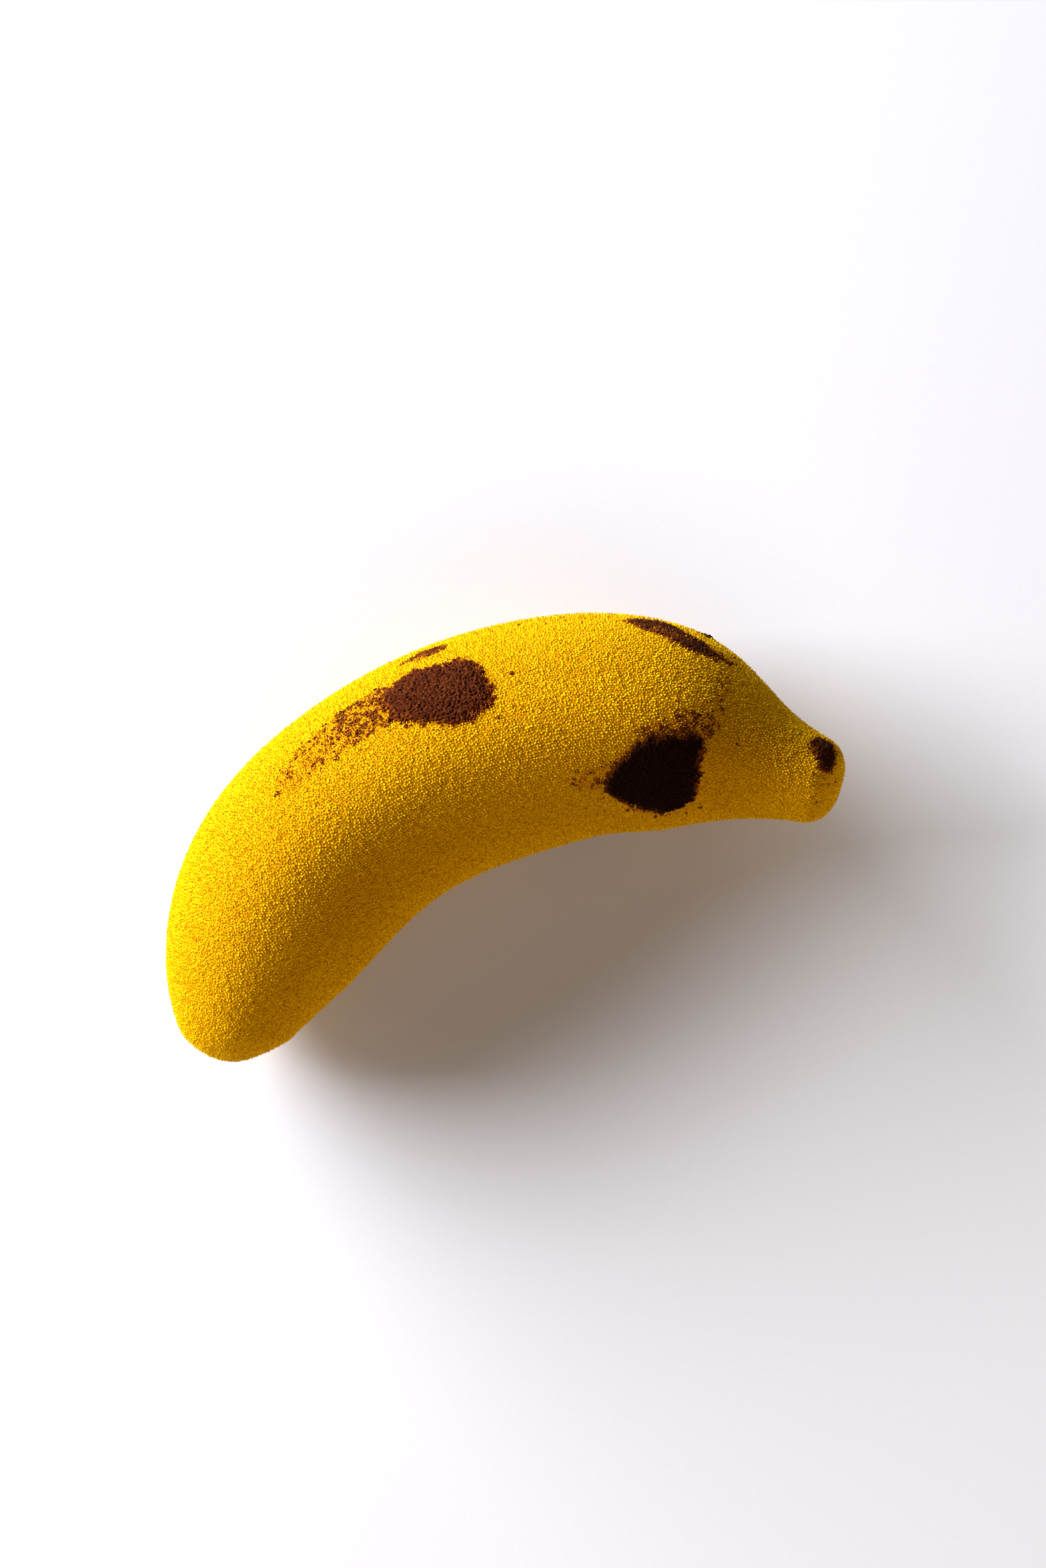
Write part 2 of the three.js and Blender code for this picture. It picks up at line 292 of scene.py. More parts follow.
# How thick the bed of powder is: its share at the edge, how far in it is whole, and how it varies
# from grain to grain; and how much of the grains' rise moisture takes away.
BED_EDGE = 0.3
BED_WHOLE = 1.6
BED_LEAST = 0.75
BED_SPREAD = 0.5
MOIST_FLAT = 0.55


def linear(code):
    """An sRGB hex colour as linear red, green and blue."""
    parts = [int(code[k:k + 2], 16) / 255 for k in (1, 3, 5)]
    return tuple(c / 12.92 if c <= 0.04045 else ((c + 0.055) / 1.055) ** 2.4 for c in parts)


def smooth_step(low, high, value):
    """Rises smoothly from 0 at low to 1 at high."""
    part = np.clip((value - low) / (high - low), 0, 1)
    return part * part * (3 - 2 * part)


# The form, as points


def form_at(parameter):
    """Place, heading and radius of the centreline at a parameter of its cubic."""
    parameter = np.asarray(parameter, float)
    first = np.clip(np.floor(parameter).astype(int), 0, len(FORM) - 4)
    f = (parameter - first)[..., None]
    weights = ((1 - f) ** 3 / 6, (3 * f ** 3 - 6 * f ** 2 + 4) / 6,
               (-3 * f ** 3 + 3 * f ** 2 + 3 * f + 1) / 6, f ** 3 / 6)
    slopes = (-((1 - f) ** 2) / 2, (9 * f ** 2 - 12 * f) / 6, (-9 * f ** 2 + 6 * f + 3) / 6,
              f ** 2 / 2)
    value = sum(w * FORM[first + k] for k, w in enumerate(weights))
    heading = sum(w * FORM[first + k, :3] for k, w in enumerate(slopes))
    heading = heading / np.linalg.norm(heading, axis=-1, keepdims=True)
    return value[..., :3], heading, value[..., 3]


LOOKUP = np.linspace(0, len(FORM) - 3, 4001)
STEPS = np.linalg.norm(np.diff(form_at(LOOKUP)[0], axis=0), axis=1)
WALKED = np.concatenate([[0], np.cumsum(STEPS)])
LENGTH = float(WALKED[-1])


def station_at(along):
    """Place, heading and radius at a length along the centreline, in mm."""
    return form_at(np.interp(np.clip(along, 0, LENGTH), WALKED, LOOKUP))


def skin_station(walked):
    """Length along the centreline and radius, for a distance walked over the side, rim and face."""
    walked = np.asarray(walked, float)
    rim_start = LENGTH - STEM_RIM
    rim_walk = STEM_RIM * math.pi / 2
    turn = np.clip((walked - rim_start) / STEM_RIM, 0, math.pi / 2)
    along = np.minimum(walked, rim_start) + STEM_RIM * np.sin(turn)
    radius = station_at(along)[2] - STEM_RIM * (1 - np.cos(turn))
    face_radius = float(station_at(LENGTH)[2]) - STEM_RIM
    left = np.clip(face_radius - (walked - rim_start - rim_walk), 0, None)
    on_face = walked > rim_start + rim_walk
    along = np.where(on_face, LENGTH + STEM_FACE_RISE * (1 - (left / face_radius) ** 2), along)
    return along, np.where(on_face, left, radius)


def form_point(along, radius, angle):
    """Points at a length, radius and angle (0 outwards, then to the top), in the mould's frame."""
    place, heading, _ = station_at(along)
    outer = np.cross((0.0, 0.0, 1.0), heading)
    outer = outer / np.linalg.norm(outer, axis=-1, keepdims=True)
    top = np.cross(heading, outer)
    reach = radius * (1 + RIDGE_HEIGHT * np.cos(RIDGES * (angle - RIDGE_ANGLE)))
    for along_middle, round_middle, along_reach, round_reach, height in SWELLS:
        offset = (np.degrees(angle) - round_middle + 180) % 360 - 180
        reach = reach + height * np.exp(-((along - along_middle) / along_reach) ** 2
                                        - (offset / round_reach) ** 2)
    depth = BODY_DEPTH + (STUB_DEPTH - BODY_DEPTH) * smooth_step(STUB_FROM, STUB_TO, along)
    return (place + heading * np.clip(along - LENGTH, 0, None)[..., None]
            + outer * (reach * np.cos(angle))[..., None]
            + top * (reach * np.sin(angle) * depth)[..., None])


REST_TURN = np.array(Matrix.Rotation(REST_ROLL, 3, "X") @ Matrix.Rotation(REST_PITCH, 3, "Y"))


def at_rest(points, shift=(0.0, 0.0)):
    """Mould-frame points in the rest pose, the belly flattened on the surface."""
    laid = points @ REST_TURN.T
    laid[..., 2] = np.maximum(laid[..., 2] + REST_HEIGHT, 0)
    laid[..., 0] += shift[0]
    laid[..., 1] += shift[1]
    return laid


def coat_rows():
    """Rows of the skin from blossom tip to stem face: walked distance, length along, radius."""
    tip_turn = np.linspace(0, math.pi / 2, TIP_ROWS)[1:]
    tip = BLOSSOM_CAP * (1 - np.cos(tip_turn))
    side = np.arange(BLOSSOM_CAP, LENGTH - STEM_RIM, COAT_STEP)[1:]
    rim_end = LENGTH - STEM_RIM + STEM_RIM * math.pi / 2
    rim = np.linspace(LENGTH - STEM_RIM, rim_end, RIM_ROWS)
    face_radius = float(station_at(LENGTH)[2]) - STEM_RIM
    face = np.linspace(rim_end, rim_end + face_radius, FACE_ROWS)[1:-1]
    walked = np.concatenate([side, rim, face])
    along, radius = skin_station(walked)
    return (np.concatenate([tip, walked]), np.concatenate([tip, along]),
            np.concatenate([station_at(tip)[2] * np.sin(tip_turn), radius]))


def skin_grid():
    """The skin's rows, its columns, its points at rest in the model's frame, the two poles last,
    and how far they were shifted to lie there, in mm."""
    walked, along, radius = coat_rows()
    angle = np.arange(COAT_COLUMNS) * 2 * math.pi / COAT_COLUMNS
    grid = form_point(np.repeat(along[:, None], COAT_COLUMNS, 1),
                      np.repeat(radius[:, None], COAT_COLUMNS, 1),
                      np.repeat(angle[None], len(walked), 0)).reshape(-1, 3)
    tip = form_point(np.zeros(1), np.zeros(1), np.zeros(1))
    face = form_point(np.full(1, LENGTH + STEM_FACE_RISE), np.zeros(1), np.zeros(1))
    points = at_rest(np.concatenate([grid, tip, face]))
    low, high = (np.array(corner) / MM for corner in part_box("banana_body"))
    shift = ((low + high) / 2 - (points.min(0) + points.max(0)) / 2)[:2]
    points[:, :2] += shift
    return walked, angle, points, shift


SKIN_WALKED, SKIN_ANGLE, SKIN_POINTS, SHIFT = skin_grid()


def skin_point(walked, angle):
    """Points on the skin in the model's frame and the skin's outward normals there."""
    probe = 0.02
    along, radius = skin_station(walked)
    ahead_along, ahead_radius = skin_station(walked + probe)
    turned = angle + probe / np.maximum(radius, 1.0)
    here = at_rest(form_point(along, radius, angle), SHIFT)
    ahead = at_rest(form_point(ahead_along, ahead_radius, angle), SHIFT) - here
    aside = at_rest(form_point(along, radius, turned), SHIFT) - here
    normal = np.cross(aside, ahead)
    return here, normal / np.maximum(np.linalg.norm(normal, axis=-1, keepdims=True), 1e-12)


# Outlines on the skin


def closed_curve(outline, steps=8):
    """A smooth closed curve through given points."""
    points = np.array(outline, float)
    before, after, beyond = (np.roll(points, k, axis=0) for k in (1, -1, -2))
    curve = []
    for part in np.arange(steps) / steps:
        curve.append(0.5 * (2 * points + (after - before) * part
                            + (2 * before - 5 * points + 4 * after - beyond) * part ** 2
                            + (3 * points - before - 3 * after + beyond) * part ** 3))
    return np.stack(curve, axis=1).reshape(-1, 2)


def depth_inside(u, v, outline):
    """Distance in mm from points to an outline, positive inside it."""
    curve = closed_curve(outline)
    ends = np.roll(curve, -1, axis=0)
    nearest = np.full(u.shape, np.inf)
    inside = np.zeros(u.shape, bool)
    for (ax, ay), (bx, by) in zip(curve, ends):
        ex, ey = bx - ax, by - ay
        part = np.clip(((u - ax) * ex + (v - ay) * ey) / (ex * ex + ey * ey), 0, 1)
        nearest = np.minimum(nearest, np.hypot(u - ax - part * ex, v - ay - part * ey))
        if ay != by:
            inside ^= ((ay > v) != (by > v)) & (u < (bx - ax) * (v - ay) / (by - ay) + ax)
    return np.where(inside, nearest, -nearest)


def depth_on_skin(walked, angle, patch):
    """Depth inside a patch's outline for points given by their walked distance and angle."""
    turn = (angle - math.radians(patch["round"]) + math.pi) % (2 * math.pi) - math.pi
    u = walked - patch["along"]
    v = turn * patch["radius"]
    depth = np.full(u.shape, FAR_OUTSIDE)
    near = (np.abs(u) < PATCH_REACH) & (np.abs(v) < PATCH_REACH)
    depth[near] = depth_inside(u[near], v[near], patch["outline"])
    return depth


# Node trees


def node(tree, kind, inputs=None, **settings):
    """Adds a node with its settings; inputs are values or the outputs that feed them."""
    made = tree.nodes.new(kind)
    for name, value in settings.items():
        setattr(made, name, value)
    for name, value in (inputs or {}).items():
        if isinstance(name, str):
            socket = next(s for s in made.inputs if s.name == name and s.enabled)
        else:
            socket = made.inputs[name]
        if isinstance(value, bpy.types.NodeSocket):
            tree.links.new(value, socket)
        else:
            socket.default_value = value
    return made


def geometry_tree(name, numbers):
    """A geometry tree with a mesh in and out and named numbers; returns tree, input and output."""
    tree = bpy.data.node_groups.new(name, "GeometryNodeTree")
    tree.interface.new_socket("Geometry", in_out="INPUT", socket_type="NodeSocketGeometry")
    for label, (kind, value) in numbers.items():
        socket = tree.interface.new_socket(label, in_out="INPUT", socket_type=kind)
        socket.default_value = value
    tree.interface.new_socket("Geometry", in_out="OUTPUT", socket_type="NodeSocketGeometry")
    return tree, node(tree, "NodeGroupInput"), node(tree, "NodeGroupOutput")


def finish_tree(tree, into, geometry, paint):
    """Ends a geometry tree in Realize Instances and Set Material."""
    real = node(tree, "GeometryNodeRealizeInstances", {"Geometry": geometry})
    painted = node(tree, "GeometryNodeSetMaterial", {
        "Geometry": real.outputs[0], "Material": paint})
    tree.links.new(painted.outputs[0], into.inputs[0])


def baked(piece, tree, values, name):
    """Runs a geometry tree on a piece and returns its result as a plain mesh."""
    modifier = piece.modifiers.new("shape", "NODES")
    modifier.node_group = tree
    for item in tree.interface.items_tree:
        if item.item_type == "SOCKET" and item.in_out == "INPUT" and item.name in values:
            modifier[item.identifier] = values[item.name]
    view = bpy.context.evaluated_depsgraph_get()
    mesh = bpy.data.meshes.new_from_object(piece.evaluated_get(view))
    piece.modifiers.remove(modifier)
    mesh.name = name
    return mesh


def new_object(name, data):
    """Puts a mesh, light or camera in the scene as an object at the origin."""
    made = bpy.data.objects.new(name, data)
    bpy.context.scene.collection.objects.link(made)
    return made


def plain_mesh(name, points, faces, attributes):
    """A smooth mesh from points in mm, with one number a point for each named attribute."""
    mesh = bpy.data.meshes.new(name)
    mesh.from_pydata((points * MM).tolist(), [], faces)
    for label, values in attributes.items():
        layer = mesh.attributes.new(label, "FLOAT", "POINT")
        layer.data.foreach_set("value", np.asarray(values, np.float32))
    mesh.shade_smooth()
    mesh.update()
    return mesh


# Materials


def surface(name):
    """An empty material; returns it with its tree, shader and object coordinates."""
    paint = bpy.data.materials.new(name)
    paint.use_nodes = True
    tree = paint.node_tree
    tree.nodes.clear()
    shader = node(tree, "ShaderNodeBsdfPrincipled")
    node(tree, "ShaderNodeOutputMaterial", {"Surface": shader.outputs[0]})
    place = node(tree, "ShaderNodeTexCoord").outputs["Object"]
    return paint, tree, shader, place


def sprayed_velvet(look):
    """Cocoa butter sprayed warm on a frozen dessert. It sets as fine beads, so it is dull and
    pebbly, yellow with painted highlight on the beads and painted shade between them, and with a
    soft bloom at the rims."""
    paint, tree, shader, place = surface("sprayed_cocoa_butter_velvet")
    # The grain of the beads, the broad unevenness of the spray, the dust's clumps and its specks.
    grain, drift, clump, speck = (
        node(tree, "ShaderNodeTexNoise", {
            "Vector": place, "Scale": 1 / pitch, "Detail": detail, "Roughness": rough}).outputs[0]
        for pitch, detail, rough in (
            (look.bead_pitch, 2.0, 0.7), (SPRAY_DRIFT * MM, 1.0, 0.5), (DUST_CLUMP * MM, 1.0, 0.5),
            (DUST_SPECK * MM, 2.0, 0.6)))
    bump = node(tree, "ShaderNodeBump", {
        "Height": grain, "Strength": 1.0, "Distance": look.bead_height})
    # Painted shade: the low spots of the bead grain are coloured darker and more orange.
    hollow_shade_share = node(tree, "ShaderNodeMapRange", {
        "Value": grain, "From Min": 0.5, "From Max": 0.32, "To Min": 0.0, "To Max": 0.85})
    # Fine cocoa that has settled between the beads round each patch, and the coat its fat stained.
    proud, dust = (node(tree, "ShaderNodeAttribute", attribute_name=label).outputs["Fac"]
                   for label in ("proud", "dust"))
    both = node(tree, "ShaderNodeMath", {0: clump, 1: speck}, operation="ADD")
    settled = node(tree, "ShaderNodeMath", {
        0: both.outputs[0], 1: DUST_BREAK, 2: dust}, operation="MULTIPLY_ADD")
    stain, cover = (
        node(tree, "ShaderNodeMapRange", {
            "Value": settled.outputs[0], "From Min": low, "From Max": high, "To Min": 0.0,
            "To Max": most}, interpolation_type="SMOOTHSTEP")
        for low, high, most in ((1.75, 2.35, 0.6), (2.24, 2.42, 1.0)))
    # Over the coat colour go the spray's drift, painted shade in the hollows, painted highlight on
    # the beads (proud, a random share on each bead), the fat stain and the dust.
    colour = (*look.coat_colour, 1)
    for share, over in ((drift, look.deep_colour), (hollow_shade_share.outputs[0], look.hollow_shade_colour),
                        (proud, look.proud_highlight_colour), (stain.outputs[0], look.stain_colour),
                        (cover.outputs[0], look.dust_colour)):
        mixed = node(tree, "ShaderNodeMix", {"Factor": share, "A": colour, "B": (*over, 1)},
                     data_type="RGBA")
        colour = mixed.outputs[2]
    tree.links.new(colour, shader.inputs["Base Color"])
    tree.links.new(bump.outputs[0], shader.inputs["Normal"])
    shader.inputs["Roughness"].default_value = 0.85
    shader.inputs["IOR"].default_value = 1.46
    shader.inputs["Specular IOR Level"].default_value = 0.05
    shader.inputs["Sheen Weight"].default_value = look.bloom
    shader.inputs["Sheen Roughness"].default_value = 0.45
    shader.inputs["Sheen Tint"].default_value = (*look.bloom_colour, 1)
    return paint


def cocoa(look):
    """Alkalised cocoa powder, sieved and pressed on: loose dark grains with no shine, redder and
    lighter where it is dry or thin, nearly black where it has drawn moisture. Its grains are painted
    lighter on their high spots and darker in the hollows, as painted highlight and painted shade."""
    paint, tree, shader, place = surface("pressed_cocoa_powder")
    moist, thin, tone = (node(tree, "ShaderNodeAttribute", attribute_name=label).outputs["Fac"]
                         for label in ("moist", "thin", "tone"))
    # Real grains are far finer and wouldn't show, so these are drawn coarser, as small clumps.
    grains = node(tree, "ShaderNodeTexNoise", {
        "Vector": place, "Scale": 1 / (POWDER_GRAIN * MM), "Detail": 2.0, "Roughness": 0.6})
    # Painted highlight and shade: the high spots of the grain noise take the light colour and its
    # hollows the dark one, scaled by each grain's random tone.
    grain_highlight_share = node(tree, "ShaderNodeMapRange", {
        "Value": grains.outputs[0], "From Min": 0.42, "From Max": 0.66, "To Min": 0.0,
        "To Max": 1.0})
    grain_highlight_share = node(tree, "ShaderNodeMath", {0: grain_highlight_share.outputs[0], 1: tone}, operation="MULTIPLY")
    dry, wet = (
        node(tree, "ShaderNodeMix", {
            "Factor": grain_highlight_share.outputs[0], "A": (*dark, 1), "B": (*light, 1)}, data_type="RGBA")
        for dark, light in (
            (look.powder_hollow_shade, look.powder_grain_highlight), (look.moist_hollow_shade, look.moist_grain_highlight)))
    body = node(tree, "ShaderNodeMix", {
        "Factor": moist, "A": dry.outputs[2], "B": wet.outputs[2]}, data_type="RGBA")
    faint = node(tree, "ShaderNodeMath", {0: thin, 1: 0.5}, operation="MULTIPLY")
    edge = node(tree, "ShaderNodeMix", {
        "Factor": faint.outputs[0], "A": body.outputs[2], "B": (*look.powder_thin, 1)},
        data_type="RGBA")
    bump = node(tree, "ShaderNodeBump", {
        "Height": grains.outputs[0], "Strength": 1.0, "Distance": POWDER_RELIEF * MM})
    tree.links.new(edge.outputs[2], shader.inputs["Base Color"])
    tree.links.new(bump.outputs[0], shader.inputs["Normal"])
    shader.inputs["Roughness"].default_value = 1.0
    shader.inputs["IOR"].default_value = 1.45
    shader.inputs["Specular IOR Level"].default_value = 0.1
    return paint


def pale_paper(look):
    """Matte white studio paper, pressed from pulp: smooth, faintly fibrous, no gloss."""
    paint, tree, shader, place = surface("matte_studio_paper")
    # Real fibres are too fine to show, so these are drawn coarser.
    fibre = node(tree, "ShaderNodeTexNoise", {
        "Vector": place, "Scale": 1 / (PAPER_FIBRE * MM), "Detail": 2.0, "Roughness": 0.6})
    tone = node(tree, "ShaderNodeMix", {
        "Factor": fibre.outputs[0], "A": (*look.floor_colour, 1), "B": (*look.floor_shade, 1)},
        data_type="RGBA")
    tree.links.new(tone.outputs[2], shader.inputs["Base Color"])
    shader.inputs["Roughness"].default_value = 0.9
    shader.inputs["Specular IOR Level"].default_value = 0.2
    # Painted light: the paper glows, less near the dessert than round it, which paints a shadow
    # round the dessert.
    out = node(tree, "ShaderNodeVectorMath", {0: place}, operation="LENGTH")
    glow = node(tree, "ShaderNodeMapRange", {
        "Value": out.outputs["Value"], "From Min": GLOW_FROM, "From Max": GLOW_TO,
        "To Min": look.glow_in_painted_shadow, "To Max": look.far_glow}, interpolation_type="SMOOTHSTEP")
    shader.inputs["Emission Color"].default_value = (1, 1, 1, 1)
    tree.links.new(glow.outputs[0], shader.inputs["Emission Strength"])
    return paint


# Settings that a user would change


def colour_setting(name, description, code):
    """A colour that a user may change, from its sRGB hex value."""
    return bpy.props.FloatVectorProperty(
        name=name, description=description, subtype="COLOR", size=3, min=0, max=1,
        default=linear(code))


def length_setting(name, description, usual, least, most):
    """A length that a user may change, from its usual value and its limits in mm."""
    return bpy.props.FloatProperty(
        name=name, description=description, default=usual * MM, min=least * MM, max=most * MM,
        subtype="DISTANCE", unit="LENGTH")


class VelvetSettings(bpy.types.PropertyGroup):
    bead_pitch: length_setting(
        "Bead pitch", "Distance between the beads of the sprayed coat", 0.46, 0.2, 3)
    bead_height: length_setting(
        "Bead height", "Height of the beads over the hollows between them", 0.4, 0, 1)
    bead_spacing: length_setting(
        "Bead spacing", "Least distance between beads that stand proud of the coat", 0.42, 0.2, 3)
    bead_smallest: length_setting(
        "Smallest bead", "Radius of the smallest bead that stands proud", 0.18, 0.02, 1)
    bead_largest: length_setting(
        "Largest bead", "Radius of the largest bead that stands proud", 0.34, 0.02, 1)
    bead_rise: bpy.props.FloatProperty(
        name="Bead rise", description="How far a bead rises, as a share of its radius",
        default=1.2, min=0, max=2, subtype="FACTOR")
    bloom: bpy.props.FloatProperty(
        name="Bloom", description="Strength of the soft bloom at grazing light",
        default=0.05, min=0, max=1, subtype="FACTOR")
    # Painted highlight: the beads that stand proud are coloured lighter and yellower, each by a
    # random share.
    proud_highlight_colour: colour_setting("Bead colour", "Beads that stand proud", "#ffd600")
    coat_colour: colour_setting("Coat colour", "Coat between the beads", "#e6ae00")
    deep_colour: colour_setting("Deep colour", "Where the spray lies thicker", "#dea000")
    # Painted shade: the hollow colour darkens the low spots between the beads.
    hollow_shade_colour: colour_setting("Hollow colour", "Lowest spots between the beads", "#aa6400")
    bloom_colour: colour_setting("Bloom colour", "Tint of the bloom", "#ffd200")
    stain_colour: colour_setting("Stain colour", "Coat stained by cocoa fat", "#c06800")
    dust_colour: colour_setting("Dust colour", "Fine cocoa between the beads", "#6b3410")


class CocoaSettings(bpy.types.PropertyGroup):
    thickness: length_setting(
        "Thickness", "Depth of powder in the middle of a patch", 0.5, 0.1, 2)
    crumbs_per_mm2: bpy.props.FloatProperty(
        name="Crumbs per mm2", description="How many crumbs lie where the scatter is thickest",
        default=0.7, min=0, max=5)
    specks_per_mm2: bpy.props.FloatProperty(
        name="Specks per mm2", description="How many fine specks lie where the scatter is thickest",
        default=3.0, min=0, max=20)
    # Painted shade and highlight: each powder's dark colour goes in the hollows, its light one on
    # the grains.
    powder_hollow_shade: colour_setting("Dry powder, dark", "Hollows of dry powder", "#401606")
    powder_grain_highlight: colour_setting("Dry powder, light", "Grains of dry powder", "#824317")
    moist_hollow_shade: colour_setting("Moist powder, dark", "Hollows of moist powder", "#150501")
    moist_grain_highlight: colour_setting("Moist powder, light", "Grains of moist powder", "#2f1206")
    powder_thin: colour_setting(
        "Thin powder", "Powder so thin that the coat glows through", "#9a4c10")


class StudioSettings(bpy.types.PropertyGroup):
    key_power: bpy.props.FloatProperty(
        name="Key power", description="Power of the soft light from the upper left",
        default=42.5, min=0, max=1000, subtype="POWER", unit="POWER")
    fill_power: bpy.props.FloatProperty(
        name="Fill power", description="Power of the broad warm light on the shaded side",
        default=2.1, min=0, max=1000, subtype="POWER", unit="POWER")
    air: bpy.props.FloatProperty(
        name="Room light", description="Strength of the even light of the room",
        default=0.045, min=0, max=5)
    # The paper's glow is painted light, not a lamp under it; its weaker strength near the dessert is
    # a painted shadow.
    glow_in_painted_shadow: bpy.props.FloatProperty(
        name="Floor glow", description="Light that comes through the studio paper from below",
        default=0.06, min=0, max=5)
    far_glow: bpy.props.FloatProperty(
        name="Far floor glow", description="The same, well away from the dessert",
        default=0.2, min=0, max=5)
    floor_colour: colour_setting("Floor", "Studio paper", "#d9dce8")
    floor_shade: colour_setting("Floor fibres", "Fibres of the studio paper", "#d4d7e4")


# Pieces


def coat_mesh():
    """The skin as one closed mesh, with its dust and crumb scatter."""
    rows = len(SKIN_WALKED)
    i, j = np.meshgrid(np.arange(rows - 1), np.arange(COAT_COLUMNS), indexing="ij")
    a = i * COAT_COLUMNS + j
    b = i * COAT_COLUMNS + (j + 1) % COAT_COLUMNS
    faces = np.stack([a, b, b + COAT_COLUMNS, a + COAT_COLUMNS], -1).reshape(-1, 4).tolist()
    last = (rows - 1) * COAT_COLUMNS
    for k in range(COAT_COLUMNS):
        after = (k + 1) % COAT_COLUMNS
        faces.append([rows * COAT_COLUMNS, after, k])
        faces.append([rows * COAT_COLUMNS + 1, last + k, last + after])
    walked = np.concatenate([np.repeat(SKIN_WALKED, COAT_COLUMNS), [0, SKIN_WALKED[-1]]])
    angle = np.concatenate([np.tile(SKIN_ANGLE, rows), [0, 0]])
    dust, crumbs = powder_fields(walked, angle)
    free = smooth_step(FREE_FROM, FREE_TO, SKIN_POINTS[:, 2])
    return plain_mesh("velvet_coat", SKIN_POINTS, faces, {
        "dust": dust * free, "crumbs": crumbs * free, "free": free})


def powder_fields(walked, angle):
    """How thick fine dust and loose crumbs lie at points of the skin, from 0 to 1."""
    dust = np.zeros(walked.shape)
    crumbs = np.zeros(walked.shape)
    for patch in (*PATCHES.values(), *SCATTERS.values()):
        outside = np.clip(-depth_on_skin(walked, angle, patch), 0, None)
        lies = 1 + 0.7 * min(patch["packed"], 0)
        dust = np.maximum(dust, (lies + 1) / 2 * np.exp(-outside / DUST_REACH))
        crumbs = np.maximum(crumbs, lies * np.exp(-outside / CRUMB_REACH))
    return dust, crumbs


def velvet_relief_tree(paint):
    """Lifts and lowers the coat in soft lumps, as fine as its mesh can hold."""
    tree, source, into = geometry_tree("velvet_relief", {
        "Bead Pitch": ("NodeSocketFloat", 0.46 * MM),
        "Relief Height": ("NodeSocketFloat", RELIEF_HEIGHT * MM)})
    place = node(tree, "GeometryNodeInputPosition").outputs[0]
    scale = node(tree, "ShaderNodeMath", {
        0: RELIEF_SCALE, 1: source.outputs["Bead Pitch"]}, operation="DIVIDE")
    grain = node(tree, "ShaderNodeTexNoise", {
        "Vector": place, "Scale": scale.outputs[0], "Detail": 1.0, "Roughness": 0.5})
    centred = node(tree, "ShaderNodeMath", {0: grain.outputs[0], 1: 0.5}, operation="SUBTRACT")
    free = node(tree, "GeometryNodeInputNamedAttribute", {"Name": "free"}, data_type="FLOAT")
    lift = node(tree, "ShaderNodeMath", {
        0: centred.outputs[0], 1: source.outputs["Relief Height"]}, operation="MULTIPLY")
    lift = node(tree, "ShaderNodeMath", {
        0: lift.outputs[0], 1: free.outputs[0]}, operation="MULTIPLY")
    normal = node(tree, "GeometryNodeInputNormal").outputs[0]
    offset = node(tree, "ShaderNodeVectorMath", {
        0: normal, "Scale": lift.outputs[0]}, operation="SCALE")
    raised = node(tree, "GeometryNodeSetPosition", {
        "Geometry": source.outputs["Geometry"], "Offset": offset.outputs[0]})
    finish_tree(tree, into, raised.outputs[0], paint)
    return tree


